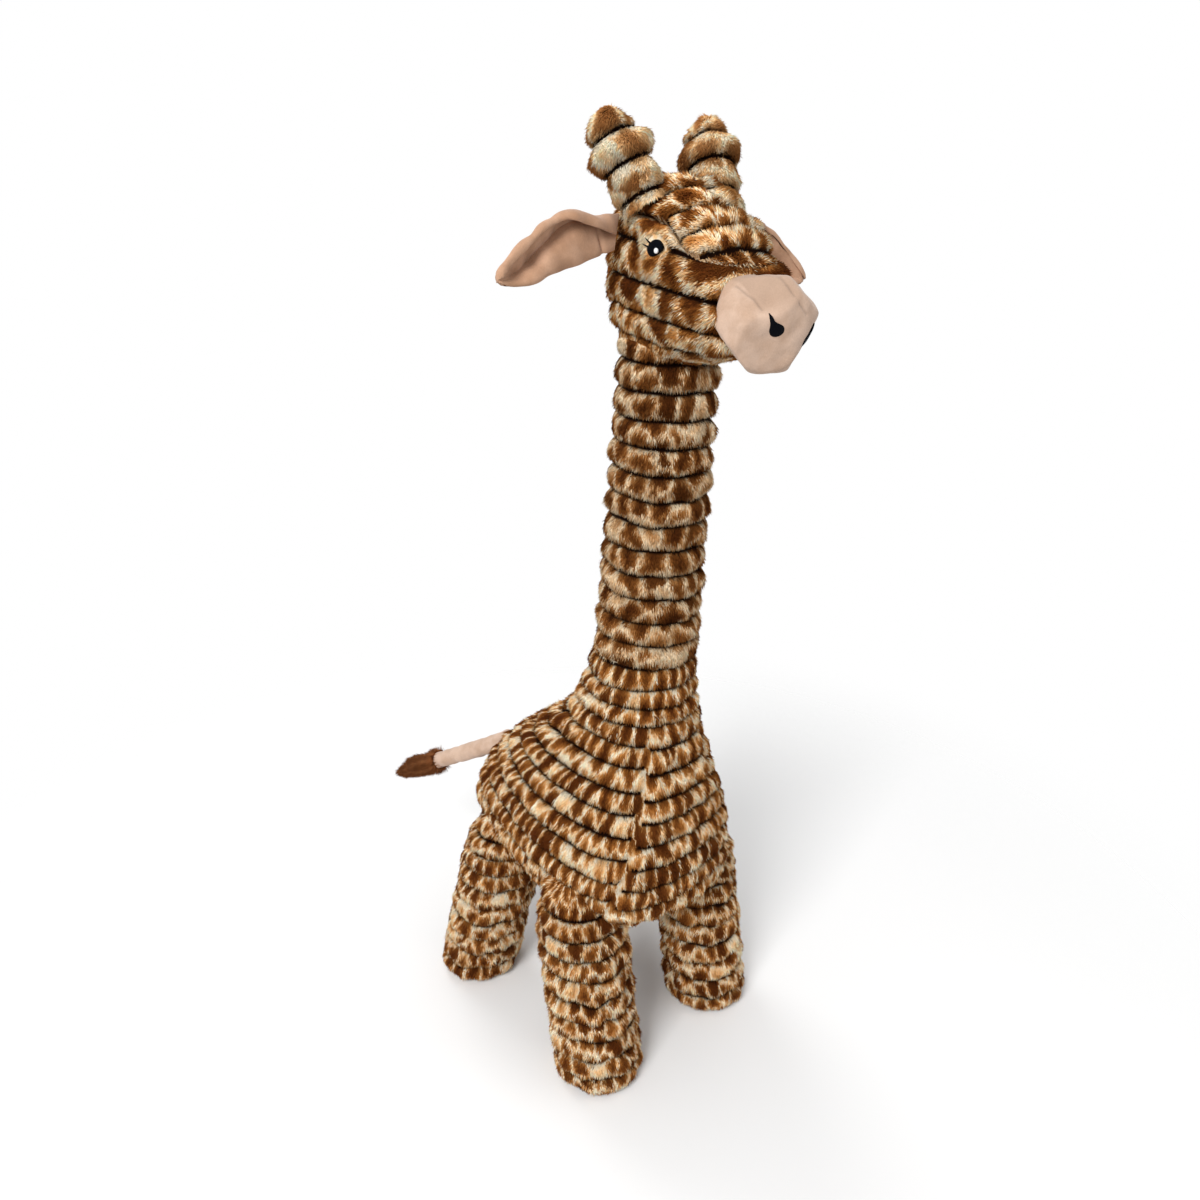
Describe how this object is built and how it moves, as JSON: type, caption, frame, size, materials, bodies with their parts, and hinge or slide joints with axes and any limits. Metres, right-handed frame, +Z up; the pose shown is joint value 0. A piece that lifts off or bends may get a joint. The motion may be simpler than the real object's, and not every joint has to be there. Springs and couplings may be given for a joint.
{
  "type": "plush giraffe",
  "caption": "Standing plush giraffe with a long ringed neck, ribbed fur, knobbly horns, flapping ears and a tail that lifts.",
  "frame": {"origin": "on the floor, on the mid-plane, under the middle of the length from the muzzle's front to the tuft's tip", "axes": "+Z up; -Y the way the giraffe faces; +X its left side"},
  "size_m": [0.3036, 0.4796, 0.8021],
  "materials": {
    "ribbed_fur": "short faux fur with a printed giraffe pattern, sewn in ribs",
    "muzzle_velour": "pale pink-beige velour",
    "ear_velour": "beige velour",
    "tuft_plush": "dark brown plush",
    "navy_thread": "satin-stitch embroidery",
    "white_thread": "satin-stitch embroidery"
  },
  "bodies": {
    "giraffe": {"torso": "ribbed_fur", "neck": "ribbed_fur", "head": "ribbed_fur", "horn_right": "ribbed_fur", "horn_left": "ribbed_fur", "front_leg_right": "ribbed_fur", "front_leg_left": "ribbed_fur", "rear_leg_right": "ribbed_fur", "rear_leg_left": "ribbed_fur", "muzzle": "muzzle_velour", "eye_right": "navy_thread", "eye_left": "navy_thread", "eye_glint_right": "white_thread", "eye_glint_left": "white_thread", "nostril_right": "navy_thread", "nostril_left": "navy_thread"},
    "ear_right": {"ear_right": "ear_velour"},
    "ear_left": {"ear_left": "ear_velour"},
    "tail": {"tail": "muzzle_velour", "tail_tuft": "tuft_plush"}
  },
  "joints": [
    {"name": "ear_right_flap", "type": "hinge", "parent": "giraffe", "child": "ear_right", "pos_m": [-0.04298, -0.11339, 0.7257], "axis": [0.0962, -0.0301, 0.9949], "range_deg": [-45, 25], "stiffness_Nm_per_rad": 0.01},
    {"name": "ear_left_flap", "type": "hinge", "parent": "giraffe", "child": "ear_left", "pos_m": [0.04298, -0.11339, 0.72571], "axis": [0.0988, 0.0309, -0.9946], "range_deg": [-45, 25], "stiffness_Nm_per_rad": 0.01},
    {"name": "tail_lift", "type": "hinge", "parent": "giraffe", "child": "tail", "pos_m": [0, 0.10104, 0.22214], "axis": [1, 0, 0], "range_deg": [-30, 60], "stiffness_Nm_per_rad": 0.1, "springref_deg": 1.83}
  ]
}
